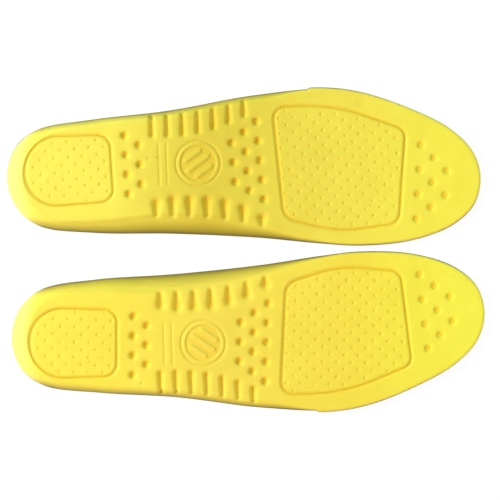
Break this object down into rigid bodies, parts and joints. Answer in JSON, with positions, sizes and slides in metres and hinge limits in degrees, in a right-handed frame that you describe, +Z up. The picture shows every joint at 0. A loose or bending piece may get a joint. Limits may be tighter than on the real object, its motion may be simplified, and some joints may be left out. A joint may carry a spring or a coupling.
{
  "type": "pair of cushioned insoles",
  "caption": "Pair of full-length cushioned insoles, sole up, with heel cup, raised arch, inset heel and forefoot pads, ribbed waist and fabric top cover.",
  "frame": {"origin": "centre of the pair's box, on the surface that the insoles lie on", "axes": "+X from heel to toe, +Y from the left insole to the right one, +Z up out of the upturned soles"},
  "size_m": [0.2755, 0.1886, 0.0195],
  "materials": {
    "base_foam": "matt moulded polyurethane foam skin",
    "pad_foam": "matt soft polyurethane foam, pin-dimpled",
    "cover_fabric": "fine knitted polyester"
  },
  "bodies": {
    "right_insole": {"right_base_foam": "base_foam", "right_heel_pad": "pad_foam", "right_forefoot_pad": "pad_foam", "right_top_cover": "cover_fabric"},
    "left_insole": {"left_base_foam": "base_foam", "left_heel_pad": "pad_foam", "left_forefoot_pad": "pad_foam", "left_top_cover": "cover_fabric"}
  },
  "joints": [
    {"name": "left_insole_lift", "type": "slide", "parent": "right_insole", "child": "left_insole", "axis": [0, 0, 1], "range_m": [0, 0.06]}
  ]
}
